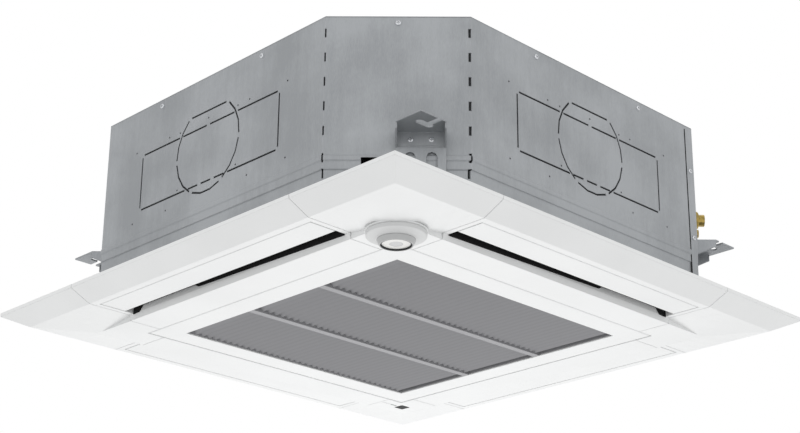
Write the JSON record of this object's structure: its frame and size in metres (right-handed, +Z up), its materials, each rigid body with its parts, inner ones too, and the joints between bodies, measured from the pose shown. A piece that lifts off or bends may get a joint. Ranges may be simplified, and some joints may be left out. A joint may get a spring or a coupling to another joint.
{
  "type": "ceiling cassette air conditioner",
  "caption": "Square four-way ceiling cassette air conditioner: steel cabinet with cut corners above a white panel with swinging vanes, hinged intake grille and turning sensor.",
  "frame": {"origin": "centre of the ceiling plane, on the panel rim", "axes": "+Z up into the ceiling void; -Y is the front, +X the right; the pipe corner is +X +Y"},
  "size_m": [0.95, 0.95, 0.3525],
  "materials": {
    "white_moulding": "satin, fine-grained moulding",
    "grey_moulding": "matt",
    "dark_moulding": "matt",
    "infrared_window": "gloss, lets infrared through",
    "lamp_strip": "translucent",
    "circuit_laminate": "coated laminate",
    "galvanised_steel": "zinc coated sheet",
    "foam": "expanded polystyrene",
    "dark_foam": "graphite-grey expanded polystyrene",
    "plug_rubber": "matt",
    "coil_fins": "pressed fins",
    "copper_pipe": "drawn copper tube",
    "nut_brass": "turned",
    "motor_case": "black, satin",
    "hose": "clear grey hose"
  },
  "bodies": {
    "cassette": {"panel_frame": "white_moulding", "corner_cover_front_right": "white_moulding", "corner_cover_rear_right": "white_moulding", "corner_cover_rear_left": "white_moulding", "corner_cover_front_left": "white_moulding", "sensor_housing": "white_moulding", "drain_pump": "white_moulding", "drain_socket": "white_moulding", "vane_motor_front": "dark_moulding", "vane_motor_right": "dark_moulding", "vane_motor_rear": "dark_moulding", "vane_motor_left": "dark_moulding", "bell_mouth": "dark_moulding", "float_switch": "dark_moulding", "receiver_window": "infrared_window", "status_lamps": "lamp_strip", "receiver_board": "circuit_laminate", "circuit_board": "circuit_laminate", "wall_front": "galvanised_steel", "wall_rear": "galvanised_steel", "corner_plate_left": "galvanised_steel", "corner_plate_pipe": "galvanised_steel", "top_plate": "galvanised_steel", "hanger_front_right": "galvanised_steel", "hanger_rear_right": "galvanised_steel", "hanger_rear_left": "galvanised_steel", "hanger_front_left": "galvanised_steel", "coil_partition": "galvanised_steel", "motor_hanger": "galvanised_steel", "control_box": "galvanised_steel", "control_cover": "galvanised_steel", "top_insulation": "foam", "wall_liner": "dark_foam", "drain_pan": "dark_foam", "drain_plug": "plug_rubber", "heat_exchanger": "coil_fins", "gas_pipe": "copper_pipe", "liquid_pipe": "copper_pipe", "gas_flare_nut": "nut_brass", "liquid_flare_nut": "nut_brass", "fan_motor": "motor_case", "drain_hose": "hose"},
    "grille": {"intake_grille": "white_moulding", "grille_louvres": "grey_moulding", "air_filter": "dark_moulding"},
    "catch_left": {"grille_catch_left": "white_moulding"},
    "catch_right": {"grille_catch_right": "white_moulding"},
    "sensor_turret": {"sensor_head": "white_moulding", "sensor_lens": "white_moulding"},
    "cooling_key": {"cooling_button": "white_moulding"},
    "heating_key": {"heating_button": "white_moulding"},
    "fan": {"turbo_fan": "dark_moulding", "fan_shaft": "galvanised_steel", "fan_nut": "galvanised_steel"},
    "pump_wheel": {"pump_impeller": "dark_moulding"},
    "float_ball": {"float": "foam"},
    "flap_front": {"vane_front": "white_moulding"},
    "flap_right": {"vane_right": "white_moulding"},
    "flap_rear": {"vane_rear": "white_moulding"},
    "flap_left": {"vane_left": "white_moulding"}
  },
  "joints": [
    {"name": "flap_front_swing", "type": "hinge", "parent": "cassette", "child": "flap_front", "pos_m": [0, -0.392, -0.0105], "axis": [1, 0, 0], "range_deg": [0, 60]},
    {"name": "flap_right_swing", "type": "hinge", "parent": "cassette", "child": "flap_right", "pos_m": [0.392, 0, -0.0105], "axis": [0, 1, 0], "range_deg": [0, 60]},
    {"name": "flap_rear_swing", "type": "hinge", "parent": "cassette", "child": "flap_rear", "pos_m": [0, 0.392, -0.0105], "axis": [-1, 0, 0], "range_deg": [0, 60]},
    {"name": "flap_left_swing", "type": "hinge", "parent": "cassette", "child": "flap_left", "pos_m": [-0.392, 0, -0.0105], "axis": [0, -1, 0], "range_deg": [0, 60]},
    {"name": "grille_swing", "type": "hinge", "parent": "cassette", "child": "grille", "pos_m": [0, 0.288, -0.0275], "axis": [1, 0, 0], "range_deg": [0, 90]},
    {"name": "catch_left_slide", "type": "slide", "parent": "cassette", "child": "catch_left", "axis": [0, 0, 1], "range_m": [0, 0.003], "stiffness_N_per_m": 200},
    {"name": "catch_right_slide", "type": "slide", "parent": "cassette", "child": "catch_right", "axis": [0, 0, 1], "range_m": [0, 0.003], "stiffness_N_per_m": 200},
    {"name": "sensor_turn", "type": "hinge", "parent": "cassette", "child": "sensor_turret", "pos_m": [0.328, -0.328, -0.04], "axis": [0, 0, 1], "range_deg": [-170, 170]},
    {"name": "cooling_press", "type": "slide", "parent": "cassette", "child": "cooling_key", "axis": [0, 0, 1], "range_m": [0, 0.0006], "stiffness_N_per_m": 500},
    {"name": "heating_press", "type": "slide", "parent": "cassette", "child": "heating_key", "axis": [0, 0, 1], "range_m": [0, 0.0006], "stiffness_N_per_m": 500},
    {"name": "fan_spin", "type": "hinge", "parent": "cassette", "child": "fan", "pos_m": [0, 0, 0.2], "axis": [0, 0, 1], "continuous": true},
    {"name": "pump_spin", "type": "hinge", "parent": "cassette", "child": "pump_wheel", "pos_m": [0.268, 0.268, 0.06], "axis": [0, 0, 1], "continuous": true},
    {"name": "float_lift", "type": "slide", "parent": "cassette", "child": "float_ball", "axis": [0, 0, 1], "range_m": [0, 0.008]}
  ]
}
